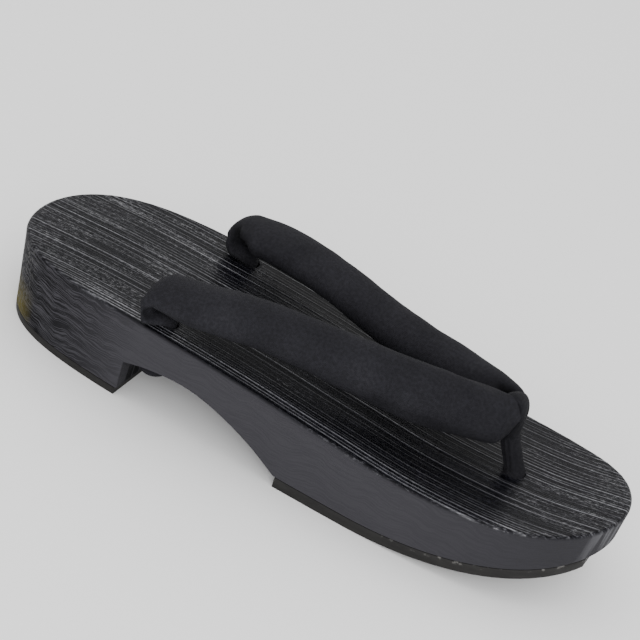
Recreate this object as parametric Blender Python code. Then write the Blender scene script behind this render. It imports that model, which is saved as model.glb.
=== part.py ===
"""A low geta sandal: a wooden base with a heel block and a forefoot, rubber sheets under both,
and a thong of two padded cloth tubes that a front loop holds down.

Metres. X runs from heel to toe, -Y is the wearer's right, +Z is up, and the ground is at Z = 0.
Stations along the sandal are shares of LENGTH, counted from the back of the heel.
"""

import math

import bmesh
import bpy
from mathutils import Vector

# Wooden base
LENGTH = 0.240
WIDTH = 0.084
DECK_HEIGHT = 0.034
TOE_ROUND = 0.0215
HEEL_ROUND = 0.0205
HEEL_WALL_SLOPE = 0.0037
TOE_WALL_SLOPE = 0.0020
HEEL_BLOCK_LENGTH = 0.063
FOREFOOT_START = 0.1285
ARCH_HEIGHT = 0.0195
TOE_SPRING_START = 0.1562
TOE_SPRING = 0.0200
DECK_EDGE_ROUND = 0.0012

# Rubber sheets
HEEL_RUBBER = 0.0029
FOREFOOT_RUBBER = 0.0042
HEEL_RUBBER_SETBACK = 0.0006
FOREFOOT_RUBBER_SETBACK = 0.0008
FOREFOOT_RUBBER_END = 0.0045

# Thong holes. The rear pair is just ahead of the heel block and in from the deck's widest edge.
FRONT_HOLE_X = 0.1985
REAR_HOLE_AHEAD = 0.0085
REAR_HOLE_INSET = 0.0105
REAR_HOLE_X = HEEL_BLOCK_LENGTH + REAR_HOLE_AHEAD
REAR_HOLE_Y = WIDTH / 2 - REAR_HOLE_INSET
HOLE_RADIUS = 0.0042

# Cords and knots
CORD_PLAY = 0.0007
CORD_RADIUS = HOLE_RADIUS - CORD_PLAY
KNOT_RADIUS = 0.0050
REAR_KNOT_HEIGHT = 0.0032
FRONT_KNOT_HEIGHT = 0.0050
KNOT_RECESS_PLAY = 0.0012
KNOT_RECESS_DEPTH = 0.0080

# Thong tubes
TUBE_WIDTH = 0.0210
TUBE_HEIGHT = 0.0170
TUBE_RISE = 0.0180
JOIN_SETBACK = 0.0060
JOIN_X = FRONT_HOLE_X - JOIN_SETBACK
JOIN_Y = TUBE_WIDTH * 0.31
EAR_REACH = 0.0014
FOLD_TUCK = 0.0050
FOLD_BEHIND = 0.0030
FOLD_RISE = 0.0063
DIVE_BEHIND = 0.0025
CORD_SINK = 0.0009

# Front loop, whose top lies on the tubes where they join
LOOP_WIDTH = 0.0130
LOOP_THICKNESS = 0.0050
LOOP_TILT = 14.0
LOOP_HEIGHT = TUBE_RISE * 1.10 + TUBE_HEIGHT * 0.45 + LOOP_THICKNESS * 0.5

# Every piece keeps this gap to the piece that it touches, and the tucked ends of the tubes a
# little more, because the deck slopes under them
FIT_GAP = 0.0003
FOOT_PLAY = 0.00006

# Cutters reach this far past the sandal, and points nearer than the weld become one
CUT_MARGIN = 0.004
SEAM_WELD = 0.00001

OUTLINE_POINTS = 112
DECK_STEPS = 46
SPRING_STEPS = 14
ARCH_STEPS = 20
HOLE_POINTS = 20
SECTION_POINTS = 24
TUBE_STEPS = 3
FOLD_STEPS = 2

# Deck height along the sandal, as a share of DECK_HEIGHT
DECK_LINE = (
    # share of LENGTH, height
    (0.000, 0.949),
    (0.146, 0.996),
    (0.292, 0.998),
    (0.438, 0.961),
    (0.583, 0.882),
    (0.729, 0.815),
    (0.875, 0.876),
    (1.000, 1.041),
)

# Arch under the waist, from the heel block to the forefoot
ARCH_LINE = (
    # share of the arch's length, share of ARCH_HEIGHT
    (0.00, 0.790),
    (0.15, 0.925),
    (0.35, 1.000),
    (0.50, 0.945),
    (0.65, 0.805),
    (0.80, 0.605),
    (0.91, 0.410),
    (1.00, 0.230),
)

# Rounded edge of the deck, from the wall inwards
EDGE_LINE = (
    # down from the deck, in from the wall, as shares of DECK_EDGE_ROUND
    (1.00, 0.00),
    (0.35, 0.30),
    (-0.40, 1.25),
)

# Cross-sections of the two cloth tubes, from the front join back to the fold over the rear hole.
# along runs from the rear hole to the join and spread from JOIN_Y out to the rear hole.
# wide is a share of TUBE_WIDTH, rise of TUBE_RISE above the deck, and tall of TUBE_HEIGHT.
TUBE_SECTIONS = (
    # along, spread, wide, rise right, tall right, rise left, tall left
    (1.000, 0.000, 0.20, 1.130, 0.300, 0.945, 0.260),
    (0.992, 0.000, 0.54, 1.132, 0.700, 0.948, 0.600),
    (0.977, 0.004, 0.74, 1.138, 0.960, 0.956, 0.860),
    (0.953, 0.022, 0.82, 1.148, 1.110, 0.968, 0.980),
    (0.920, 0.070, 0.84, 1.160, 1.170, 0.985, 1.040),
    (0.847, 0.183, 0.87, 1.140, 1.240, 0.990, 1.060),
    (0.732, 0.306, 0.92, 1.035, 1.260, 0.955, 1.000),
    (0.607, 0.435, 0.94, 0.980, 1.180, 0.880, 0.910),
    (0.466, 0.591, 0.94, 0.960, 1.070, 0.840, 0.840),
    (0.326, 0.728, 0.97, 0.890, 0.970, 0.850, 0.800),
    (0.195, 0.844, 1.03, 0.790, 0.910, 0.820, 0.800),
    (0.100, 0.935, 1.08, 0.690, 0.830, 0.745, 0.780),
    (0.030, 0.985, 1.06, 0.625, 0.735, 0.690, 0.705),
)

# Behind the hole the tube's end curls down about a line across the sandal and back under itself.
# inner and outer are measured from that line, as shares of the tube's top above it. The edge that
# faces outwards runs out to a soft point, and the one that faces the other tube is drawn in.
FOLD_SECTIONS = (
    # turn in degrees, inner, outer right, outer left, ear of EAR_REACH, tuck of FOLD_TUCK
    (10.0, 0.040, 0.900, 0.850, 0.00, 0.20),
    (35.0, 0.040, 0.770, 0.770, 0.10, 0.55),
    (60.0, 0.040, 0.640, 0.710, 0.30, 0.85),
    (85.0, 0.040, 0.590, 0.680, 0.60, 1.00),
    (110.0, 0.040, 0.590, 0.640, 0.90, 1.00),
    (135.0, 0.040, 0.600, 0.610, 1.00, 1.00),
    (158.0, 0.040, 0.600, 0.590, 0.85, 1.00),
    (180.0, 0.040, 0.600, 0.580, 0.45, 1.00),
)

# The tucked end then turns down into the hole, about a line behind the cord on the deck.
DIVE_SECTIONS = (
    # turn in degrees, inner and outer as shares of FOLD_RISE, wide of the tucked end, tuck
    (32.0, 0.030, 0.900, 0.88, 0.60),
    (62.0, 0.030, 0.960, 0.66, 0.20),
    (90.0, 0.030, 0.940, 0.36, 0.00),
)

# Centre line of the front loop, from the hole up over the join and down between the tubes.
# It leans back by shares of JOIN_SETBACK, then passes over by shares of TUBE_WIDTH.
LOOP_SECTIONS = (
    # lean, over, up as a share of LOOP_HEIGHT, wide of LOOP_WIDTH, thick of LOOP_THICKNESS, tilt
    (0.000, 0.000, 0.020, 0.54, 1.36, 0.0),
    (0.300, 0.000, 0.165, 0.54, 1.36, 0.0),
    (0.750, 0.000, 0.320, 0.55, 1.34, 0.0),
    (1.025, 0.000, 0.470, 0.62, 1.12, 0.1),
    (1.025, 0.000, 0.620, 0.82, 1.00, 0.3),
    (1.025, 0.000, 0.780, 0.94, 0.98, 0.7),
    (1.000, 0.071, 0.885, 0.96, 0.94, 1.0),
    (1.000, 0.200, 0.895, 0.88, 0.88, 1.0),
    (1.000, 0.315, 0.820, 0.62, 0.80, 0.8),
    (1.000, 0.385, 0.720, 0.34, 0.70, 0.5),
)

# A cord's tail below its piece, from the knot's underside up to the cord.
KNOT_SECTIONS = (
    # up as a share of the knot's height, radius as a share of KNOT_RADIUS
    (0.00, 0.45),
    (0.14, 0.78),
    (0.38, 0.98),
    (0.62, 1.00),
    (0.86, 0.90),
    (1.00, 0.76),
)

FORWARD = Vector((1.0, 0.0, 0.0))
LEFT = Vector((0.0, 1.0, 0.0))
UP = Vector((0.0, 0.0, 1.0))


def clear_scene():
    for obj in list(bpy.data.objects):
        bpy.data.objects.remove(obj, do_unlink=True)


def make_collection(name):
    collection = bpy.data.collections.new(name)
    bpy.context.scene.collection.children.link(collection)
    return collection


def make_material(name, color, roughness):
    material = bpy.data.materials.new(name)
    material.use_nodes = True
    shader = material.node_tree.nodes["Principled BSDF"]
    shader.inputs["Base Color"].default_value = (*color, 1.0)
    shader.inputs["Roughness"].default_value = roughness
    shader.inputs["Metallic"].default_value = 0.0
    return material


def add_object(name, mesh, collection, material=None):
    obj = bpy.data.objects.new(name, mesh)
    collection.objects.link(obj)
    if material:
        mesh.materials.append(material)
    return obj


def smooth_line(rows, share):
    """Height of the smooth curve through the rows (share, height) at one share."""
    last = len(rows) - 1
    index = 0
    while index < last - 1 and share > rows[index + 1][0]:
        index += 1

    def slope(i):
        low = rows[max(i - 1, 0)]
        high = rows[min(i + 1, last)]
        return (high[1] - low[1]) / (high[0] - low[0])

    left, right = rows[index], rows[index + 1]
    span = right[0] - left[0]
    t = min(max((share - left[0]) / span, 0.0), 1.0)
    return (
        (2 * t**3 - 3 * t**2 + 1) * left[1]
        + (t**3 - 2 * t**2 + t) * span * slope(index)
        + (3 * t**2 - 2 * t**3) * right[1]
        + (t**3 - t**2) * span * slope(index + 1)
    )


def smooth_rows(table, steps):
    """The table's rows with further rows between them, each column on a smooth curve."""
    last = len(table) - 1
    columns = [tuple(enumerate(column)) for column in zip(*table)]
    places = [i / steps for i in range(last * steps + 1)]
    return [tuple(smooth_line(column, place) for column in columns) for place in places]


def deck_z(x):
    return DECK_HEIGHT * smooth_line(DECK_LINE, x / LENGTH)


def spring_z(x):
    """Height of the ground side of the forefoot, which turns up towards the toe."""
    run = max(x - TOE_SPRING_START, 0.0) / (LENGTH - TOE_SPRING_START)
    return TOE_SPRING * run**2


def half_width(x):
    toe = 1 - math.exp(-max(LENGTH - x, 0.0) / TOE_ROUND)
    heel = 1 - math.exp(-max(x, 0.0) / HEEL_ROUND)
    return WIDTH / 2 * math.sqrt(toe * heel)


def wall_slope(x):
    """How far the side wall leans in between the deck and the ground."""
    share = min(max(x / LENGTH, 0.0), 1.0)
    return HEEL_WALL_SLOPE + (TOE_WALL_SLOPE - HEEL_WALL_SLOPE) * share


def outline_stations():
    """Stations from heel to toe, close together where the ends are round."""
    half = OUTLINE_POINTS // 2
    return [LENGTH * (1 - math.cos(math.pi * i / half)) / 2 for i in range(half + 1)]


def outline_normal(x, side):
    """Unit normal of the plan outline, pointing away from the sandal."""
    step = LENGTH / 500
    if x <= 0.0 or x >= LENGTH:
        return Vector((-1.0 if x <= 0.0 else 1.0, 0.0))
    back = max(x - step, 0.0)
    ahead = min(x + step, LENGTH)
    tangent = Vector((ahead - back, side * (half_width(ahead) - half_width(back))))
    return Vector((-tangent.y, tangent.x)).normalized() * side


def outline_ring(height, grow=0.0):
    """The plan outline, height(x) above the ground, on walls that lean in towards the ground."""
    stations = outline_stations()
    points = []
    for side, order in ((-1, stations), (1, stations[-2:0:-1])):
        for x in order:
            z = height(x)
            lean = wall_slope(x) * (z / deck_z(x) - 1) + grow
            normal = outline_normal(x, side)
            y = side * half_width(x)
            points.append(Vector((x + normal.x * lean, y + normal.y * lean, z)))
    return points


def loft(name, rings, collection, material=None):
    """A closed solid through rings of equally many points, with a flat or pointed cap at each end."""
    mesh = bpy.data.meshes.new(name)
    bm = bmesh.new()
    rows = [[bm.verts.new(point) for point in ring] for ring in rings]
    for low, high in zip(rows, rows[1:]):
        for i in range(len(low)):
            j = (i + 1) % len(low)
            bm.faces.new((low[i], low[j], high[j], high[i]))
    bm.faces.new(rows[0][::-1])
    bm.faces.new(rows[-1])
    bmesh.ops.triangulate(bm, faces=bm.faces[:])
    bmesh.ops.recalc_face_normals(bm, faces=bm.faces[:])
    bm.to_mesh(mesh)
    bm.free()
    return add_object(name, mesh, collection, material)


def edge_ring(down, inward):
    """The plan outline at one step of the deck's rounded edge."""
    return outline_ring(lambda x: deck_z(x) - DECK_EDGE_ROUND * down, -DECK_EDGE_ROUND * inward)


def plan_form(name, collection):
    """The plan outline with its leaning walls and the deck's rounded edge, taller than the sandal."""
    rings = [outline_ring(lambda x: -CUT_MARGIN)]
    rings += [edge_ring(down, inward) for down, inward in EDGE_LINE]
    rings.append(edge_ring(-CUT_MARGIN / DECK_EDGE_ROUND, EDGE_LINE[-1][1]))
    return loft(name, rings, collection)


def side_form(name, profile, collection, material):
    """A side profile, a flat outline of (x, z), extruded across the whole width."""
    curve = bpy.data.curves.new(name, "CURVE")
    curve.dimensions = "2D"
    curve.fill_mode = "BOTH"
    curve.extrude = WIDTH / 2 + CUT_MARGIN
    spline = curve.splines.new("POLY")
    spline.points.add(len(profile) - 1)
    for point, (x, z) in zip(spline.points, profile):
        point.co = (x, z, 0.0, 1.0)
    spline.use_cyclic_u = True
    guide = bpy.data.objects.new(name + "_profile", curve)
    collection.objects.link(guide)
    guide.rotation_euler.x = math.radians(90)
    bpy.context.view_layer.update()
    graph = bpy.context.evaluated_depsgraph_get()
    mesh = bpy.data.meshes.new_from_object(guide.evaluated_get(graph))
    mesh.transform(guide.matrix_world)
    bpy.data.objects.remove(guide, do_unlink=True)
    bm = bmesh.new()
    bm.from_mesh(mesh)
    bmesh.ops.remove_doubles(bm, verts=bm.verts[:], dist=1e-6)
    bmesh.ops.recalc_face_normals(bm, faces=bm.faces[:])
    bm.to_mesh(mesh)
    bm.free()
    mesh.name = name
    mesh.materials.clear()
    return add_object(name, mesh, collection, material)


def boolean(obj, cutter, operation):
    modifier = obj.modifiers.new(operation.lower(), "BOOLEAN")
    modifier.operation = operation
    modifier.solver = "EXACT"
    modifier.object = cutter
    cutter.hide_render = True
    cutter.display_type = "WIRE"


def weld_seams(obj):
    """Joins the points that Booleans leave almost on top of each other."""
    modifier = obj.modifiers.new("weld", "WELD")
    modifier.merge_threshold = SEAM_WELD


def round_hole(name, x, y, high, radius, collection):
    """An upright round rod from the ground to a height, to cut a hole with."""
    mesh = bpy.data.meshes.new(name)
    bm = bmesh.new()
    bmesh.ops.create_cone(
        bm, cap_ends=True, segments=HOLE_POINTS, radius1=radius, radius2=radius, depth=high
    )
    bmesh.ops.translate(bm, verts=bm.verts[:], vec=(x, y, high / 2))
    bm.to_mesh(mesh)
    bm.free()
    return add_object(name, mesh, collection)


def shade_round(obj, angle=40):
    obj.data.shade_smooth()
    obj.data.set_sharp_from_angle(angle=math.radians(angle))


def arch_z(x):
    """Ceiling of the open waist between the heel block and the forefoot."""
    share = (x - HEEL_BLOCK_LENGTH) / (FOREFOOT_START - HEEL_BLOCK_LENGTH)
    return ARCH_HEIGHT * smooth_line(ARCH_LINE, share)


def stations_between(start, end, steps):
    return [start + (end - start) * i / steps for i in range(steps + 1)]


def base_profile():
    """Side outline of the wooden base, a little longer than the sandal at both ends."""
    toe_x = LENGTH + CUT_MARGIN
    profile = [(x, deck_z(x)) for x in stations_between(-CUT_MARGIN, toe_x, DECK_STEPS)]
    toe_lift = FOREFOOT_RUBBER + FIT_GAP
    under_toe = stations_between(toe_x, TOE_SPRING_START, SPRING_STEPS)
    profile += [(x, spring_z(x) + toe_lift) for x in under_toe]
    profile.append((FOREFOOT_START, toe_lift))
    arch = stations_between(FOREFOOT_START, HEEL_BLOCK_LENGTH, ARCH_STEPS)[1:]
    profile += [(x, arch_z(x)) for x in arch]
    heel_lift = HEEL_RUBBER + FIT_GAP
    profile += [(HEEL_BLOCK_LENGTH, heel_lift), (-CUT_MARGIN, heel_lift)]
    return profile


def recess_top():
    """Ceiling of the round recess under the front hole, which holds the front knot."""
    return spring_z(FRONT_HOLE_X) + FOREFOOT_RUBBER + KNOT_RECESS_DEPTH


def make_base(parts, cutters, material):
    base = side_form("wooden_base", base_profile(), parts, material)
    boolean(base, plan_form("base_outline", cutters), "INTERSECT")
    above = DECK_HEIGHT + CUT_MARGIN
    recess_radius = KNOT_RADIUS + KNOT_RECESS_PLAY
    holes = (
        round_hole("front_hole", FRONT_HOLE_X, 0.0, above, HOLE_RADIUS, cutters),
        round_hole("knot_recess", FRONT_HOLE_X, 0.0, recess_top(), recess_radius, cutters),
        round_hole("rear_hole_right", REAR_HOLE_X, -REAR_HOLE_Y, above, HOLE_RADIUS, cutters),
        round_hole("rear_hole_left", REAR_HOLE_X, REAR_HOLE_Y, above, HOLE_RADIUS, cutters),
    )
    for hole in holes:
        boolean(base, hole, "DIFFERENCE")
    weld_seams(base)
    shade_round(base)


def heel_rubber_profile():
    front = HEEL_BLOCK_LENGTH - HEEL_RUBBER_SETBACK
    return [(-CUT_MARGIN, 0.0), (front, 0.0), (front, HEEL_RUBBER), (-CUT_MARGIN, HEEL_RUBBER)]


def forefoot_rubber_profile():
    start = FOREFOOT_START + FOREFOOT_RUBBER_SETBACK
    end = LENGTH - FOREFOOT_RUBBER_END
    under = [(start, 0.0)]
    under += [(x, spring_z(x)) for x in stations_between(TOE_SPRING_START, end, SPRING_STEPS)]
    over = [(x, z + FOREFOOT_RUBBER) for x, z in reversed(under)]
    return under + over


def make_rubber(name, profile, parts, cutters, material):
    sheet = side_form(name, profile, parts, material)
    boolean(sheet, plan_form(name + "_outline", cutters), "INTERSECT")
    weld_seams(sheet)
    shade_round(sheet)


def section_ring(centre, across, upward, half_across, half_up, ear=0.0, tuck=0.0):
    """An oval section.

    ear pushes the edge on the side of across out to a soft point. tuck draws the other edge in.
    """
    ring = []
    for i in range(SECTION_POINTS):
        angle = 2 * math.pi * i / SECTION_POINTS
        reach = half_across * math.cos(angle) + ear * max(math.cos(angle), 0.0) ** 6
        reach += tuck * max(-math.cos(angle), 0.0)
        ring.append(centre + across * reach + upward * (half_up * math.sin(angle)))
    return ring


def tail_rings(x, y, knot_top, knot_height, across, upward):
    """Rings of a cord's tail: the knot under the wood and the start of the cord that comes up from it."""
    rings = []
    for up, wide in KNOT_SECTIONS:
        centre = Vector((x, y, knot_top - knot_height * (1 - up)))
        radius = wide * KNOT_RADIUS
        rings.append(section_ring(centre, across, upward, radius, radius))
    knot_end = Vector((x, y, knot_top))
    rings.append(section_ring(knot_end, across, upward, CORD_RADIUS, CORD_RADIUS))
    return rings


def heading_at(centres, i):
    """Direction of a centre line at one of its points."""
    before = centres[max(i - 1, 0)]
    after = centres[min(i + 1, len(centres) - 1)]
    return (after - before).normalized()


def fold_rings(side, half_across, tube_top):
    """Rings of a tube's rear end, which curls down behind its hole and under itself, then dives in."""
    outward = LEFT * side
    deck = deck_z(REAR_HOLE_X) + FIT_GAP + FOOT_PLAY
    pivot = Vector((REAR_HOLE_X - FOLD_BEHIND, side * REAR_HOLE_Y, deck_z(REAR_HOLE_X) + FOLD_RISE))
    reach = tube_top - pivot.z
    rings = []
    for turn, inner, right, left, ear, tuck in smooth_rows(FOLD_SECTIONS, FOLD_STEPS):
        outer = right if side < 0 else left
        up = math.cos(math.radians(turn))
        direction = UP * up - FORWARD * math.sin(math.radians(turn))
        low = inner * reach
        high = outer * reach
        if up < 0:
            high = min(high, (pivot.z - deck) / -up)
        centre = pivot + direction * (low + high) / 2
        half_tall = (high - low) / 2
        reach_out, draw_in = ear * EAR_REACH, tuck * FOLD_TUCK
        rings.append(
            section_ring(centre, outward, direction, half_across, half_tall, reach_out, draw_in)
        )
    pivot = Vector((REAR_HOLE_X - DIVE_BEHIND, side * REAR_HOLE_Y, deck))
    for turn, inner, outer, wide, tuck in DIVE_SECTIONS:
        direction = UP * math.cos(math.radians(turn)) + FORWARD * math.sin(math.radians(turn))
        centre = pivot + direction * (inner + outer) * FOLD_RISE / 2
        half_tall = (outer - inner) * FOLD_RISE / 2
        half_wide, draw_in = wide * half_across, tuck * FOLD_TUCK
        rings.append(section_ring(centre, outward, -direction, half_wide, half_tall, 0.0, draw_in))
    return rings


def tube_rings(side, grow):
    """Rings of one cloth tube, from the front join back to where it starts to fold.

    grow makes it larger all round and sets it as far ahead, for the room that it needs in the loop.
    """
    rise_column, tall_column = (3, 4) if side < 0 else (5, 6)
    sections = smooth_rows(TUBE_SECTIONS, TUBE_STEPS)
    centres = []
    for row in sections:
        x = REAR_HOLE_X + row[0] * (JOIN_X - REAR_HOLE_X)
        y = side * (JOIN_Y + row[1] * (REAR_HOLE_Y - JOIN_Y))
        centres.append(Vector((x, y, deck_z(x) + row[rise_column] * TUBE_RISE)))
    rings = []
    for i, (row, centre) in enumerate(zip(sections, centres)):
        heading = heading_at(centres, i)
        upward = (UP - heading * heading.z).normalized()
        across = heading.cross(upward) * side
        half_across = row[2] * TUBE_WIDTH / 2 + grow
        half_tall = row[tall_column] * TUBE_HEIGHT / 2 + grow
        moved = centre - heading * grow
        rings.append(section_ring(moved, across, upward, half_across, half_tall))
    return rings


def strap_rings(side):
    """Rings of one tube, its folded end, and the cord that goes down the hole to a knot."""
    outward = LEFT * side
    y = side * REAR_HOLE_Y
    rings = tube_rings(side, 0.0)
    tube_top = max(point.z for point in rings[-1])
    half_across = TUBE_SECTIONS[-1][2] * TUBE_WIDTH / 2
    rings += fold_rings(side, half_across, tube_top)
    cord_top = Vector((REAR_HOLE_X, y, deck_z(REAR_HOLE_X) + FIT_GAP + FOOT_PLAY - CORD_SINK))
    rings.append(section_ring(cord_top, outward, -FORWARD, CORD_RADIUS, CORD_RADIUS))
    knot_top = arch_z(REAR_HOLE_X - KNOT_RADIUS) - FIT_GAP
    tail = tail_rings(REAR_HOLE_X, y, knot_top, REAR_KNOT_HEIGHT, outward, -FORWARD)
    return rings + tail[::-1]


def make_thong(parts, cutters, material):
    thong = loft("thong_strap", strap_rings(-1), parts, material)
    boolean(thong, loft("left_tube", strap_rings(1), cutters), "UNION")
    weld_seams(thong)
    shade_round(thong, 60)


def loop_rings():
    """Rings of the front loop, from its knot in the base up through the hole and over the join."""
    knot_top = recess_top() - FIT_GAP * 2
    rings = tail_rings(FRONT_HOLE_X, 0.0, knot_top, FRONT_KNOT_HEIGHT, FORWARD, LEFT)
    sections = smooth_rows(LOOP_SECTIONS, TUBE_STEPS)
    centres = []
    for lean, over, up, *_ in sections:
        x = FRONT_HOLE_X - lean * JOIN_SETBACK - over * TUBE_WIDTH
        centres.append(Vector((x, 0.0, deck_z(FRONT_HOLE_X) + up * LOOP_HEIGHT)))
    for i, (row, centre) in enumerate(zip(sections, centres)):
        heading = heading_at(centres, i) if i else UP
        tilt = math.radians(row[5] * LOOP_TILT)
        across = LEFT * math.cos(tilt) - LEFT.cross(heading) * math.sin(tilt)
        outward = across.cross(heading)
        half_wide = row[3] * LOOP_WIDTH / 2
        half_thick = row[4] * LOOP_THICKNESS / 2
        rings.append(section_ring(centre, outward, across, half_thick, half_wide))
    return rings


def make_front_loop(parts, cutters, material):
    loop = loft("front_loop", loop_rings(), parts, material)
    for name, side in (("right", -1), ("left", 1)):
        room = loft("room_for_tube_" + name, tube_rings(side, FIT_GAP), cutters)
        boolean(loop, room, "DIFFERENCE")
    weld_seams(loop)
    shade_round(loop, 60)


def centre_parts():
    """The sandal's origin is on the ground under the middle of its length."""
    for obj in list(bpy.data.objects):
        obj.location.x = -LENGTH / 2


def main():
    clear_scene()
    parts = make_collection("geta_sandal")
    cutters = make_collection("cutters")
    wood = make_material("black_wood", (0.018, 0.018, 0.020), 0.45)
    rubber = make_material("black_rubber", (0.016, 0.016, 0.017), 0.70)
    cloth = make_material("black_cloth", (0.010, 0.010, 0.011), 0.95)
    make_base(parts, cutters, wood)
    make_rubber("heel_outsole", heel_rubber_profile(), parts, cutters, rubber)
    make_rubber("forefoot_outsole", forefoot_rubber_profile(), parts, cutters, rubber)
    make_thong(parts, cutters, cloth)
    make_front_loop(parts, cutters, cloth)
    centre_parts()


main()
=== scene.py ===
import math

import bmesh
import bpy
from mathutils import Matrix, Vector, noise


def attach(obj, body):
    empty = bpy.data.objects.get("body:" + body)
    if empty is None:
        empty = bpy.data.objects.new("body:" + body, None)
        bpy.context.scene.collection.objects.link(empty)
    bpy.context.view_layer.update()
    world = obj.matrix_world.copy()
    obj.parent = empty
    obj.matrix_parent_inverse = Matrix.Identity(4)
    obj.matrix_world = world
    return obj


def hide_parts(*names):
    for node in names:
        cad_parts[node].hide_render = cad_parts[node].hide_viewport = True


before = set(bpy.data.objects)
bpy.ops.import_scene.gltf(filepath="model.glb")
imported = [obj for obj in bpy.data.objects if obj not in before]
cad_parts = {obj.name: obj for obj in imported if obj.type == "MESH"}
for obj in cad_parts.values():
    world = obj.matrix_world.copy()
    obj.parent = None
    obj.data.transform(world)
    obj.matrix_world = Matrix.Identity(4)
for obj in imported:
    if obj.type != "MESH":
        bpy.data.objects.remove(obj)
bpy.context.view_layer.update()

# Camera. It looks down on the right side from a little ahead, rolled so that the sandal
# runs from the upper left to the lower right, with the toe nearest to the lower right corner.
AZIMUTH, ELEVATION, ROLL = math.radians(15.13), math.radians(31.59), math.radians(20.82)
VIEW_DISTANCE = 0.800
VIEW_TARGET = Vector((0.0, 0.0, 0.020))
FOCAL_PIXELS, FRAME_PIXELS = 2240.91, 640
CENTRE_X, CENTRE_Y = 313.63, 385.26

bpy.ops.object.camera_add()
camera = bpy.context.object
camera.data.lens = FOCAL_PIXELS * camera.data.sensor_width / FRAME_PIXELS
camera.data.shift_x = (FRAME_PIXELS / 2 - CENTRE_X) / FRAME_PIXELS
camera.data.shift_y = (CENTRE_Y - FRAME_PIXELS / 2) / FRAME_PIXELS
camera.data.clip_start = 0.01
back = Vector(
    (
        math.sin(AZIMUTH) * math.cos(ELEVATION),
        -math.cos(AZIMUTH) * math.cos(ELEVATION),
        math.sin(ELEVATION),
    )
)
level = Vector((math.cos(AZIMUTH), math.sin(AZIMUTH), 0.0))
upright = back.cross(level)
right = math.cos(ROLL) * level + math.sin(ROLL) * upright
above = -math.sin(ROLL) * level + math.cos(ROLL) * upright
turn = camera.matrix_world.to_3x3()
for column, axis in enumerate((right, above, back)):
    for row in range(3):
        turn[row][column] = axis[row]
camera.matrix_world = turn.to_4x4()
camera.location = VIEW_TARGET + back * VIEW_DISTANCE
bpy.context.scene.camera = camera

# Wooden base. One piece of cedar, sawn to a scooped side profile with a heel block, burnt and
# brushed so that the hard grain stands proud of the deck, then painted black and lightly rubbed.
LENGTH, WIDTH, DECK_HEIGHT = 0.240, 0.084, 0.034
TOE_ROUND, HEEL_ROUND = 0.0215, 0.0205
HEEL_WALL_SLOPE, TOE_WALL_SLOPE = 0.0037, 0.0020
HEEL_BLOCK_LENGTH, FOREFOOT_START, ARCH_HEIGHT = 0.063, 0.1285, 0.0195
TOE_SPRING_START, TOE_SPRING = 0.1562, 0.0200
HEEL_RUBBER, FOREFOOT_RUBBER, FIT_GAP = 0.0029, 0.0042, 0.0003
EDGE_ROUND = 0.0011
DECK_COLUMNS = 500
DECK_LINE = (
    (0.000, 0.949),
    (0.146, 0.996),
    (0.292, 0.998),
    (0.438, 0.961),
    (0.583, 0.882),
    (0.729, 0.815),
    (0.875, 0.876),
    (1.000, 1.041),
)
ARCH_LINE = (
    (0.00, 0.790),
    (0.15, 0.925),
    (0.35, 1.000),
    (0.50, 0.945),
    (0.65, 0.805),
    (0.80, 0.605),
    (0.91, 0.410),
    (1.00, 0.230),
)
# The hard grain lines that stand out: place across at the heel, drift by the toe, half width and
# height, all in mm, and how much the paint is rubbed off the line.
GRAIN_LINES = (
    (-39.6, 1.6, 0.26, 0.10, 1.00),
    (-38.2, 2.2, 0.20, 0.08, 0.80),
    (-36.6, 3.0, 0.24, 0.12, 1.10),
    (-35.2, 3.3, 0.18, 0.10, 0.60),
    (-34.1, 3.5, 0.16, 0.05, 0.40),
    (-32.6, 3.6, 0.20, 0.09, 0.60),
    (-31.3, 3.8, 0.16, 0.05, 0.30),
    (-30.0, 4.0, 0.22, 0.09, 0.55),
    (-27.4, 4.1, 0.16, 0.05, 0.25),
    (-24.3, 3.6, 0.16, 0.06, 0.30),
    (-22.2, 3.4, 0.20, 0.10, 0.60),
    (-19.0, 3.4, 0.26, 0.16, 0.95),
    (-17.6, 3.2, 0.16, 0.06, 0.35),
    (-13.2, 3.2, 0.16, 0.06, 0.35),
    (-11.2, 3.4, 0.26, 0.17, 1.00),
    (-9.6, 2.6, 0.16, 0.06, 0.30),
    (-5.8, 2.0, 0.16, 0.05, 0.25),
    (-2.6, 1.8, 0.16, 0.05, 0.30),
    (0.2, 1.8, 0.26, 0.17, 1.00),
    (1.7, 1.8, 0.16, 0.06, 0.40),
    (4.2, 1.8, 0.22, 0.14, 0.85),
    (5.7, 1.8, 0.16, 0.06, 0.35),
    (8.2, 1.2, 0.22, 0.12, 0.75),
    (9.9, 1.4, 0.16, 0.06, 0.45),
    (11.6, 1.4, 0.18, 0.08, 0.45),
    (13.4, 1.5, 0.16, 0.05, 0.35),
    (15.9, 1.6, 0.16, 0.06, 0.40),
    (19.5, 2.0, 0.22, 0.12, 0.70),
    (21.3, 2.1, 0.16, 0.05, 0.30),
    (23.2, 2.2, 0.20, 0.12, 0.70),
    (25.8, 2.2, 0.16, 0.06, 0.40),
    (28.5, 2.4, 0.24, 0.14, 0.85),
    (30.4, 2.2, 0.16, 0.05, 0.30),
    (32.3, 2.0, 0.16, 0.07, 0.40),
    (35.3, 1.8, 0.20, 0.11, 0.65),
    (37.4, 1.6, 0.16, 0.06, 0.35),
    (39.4, 1.5, 0.16, 0.05, 0.35),
)


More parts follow.
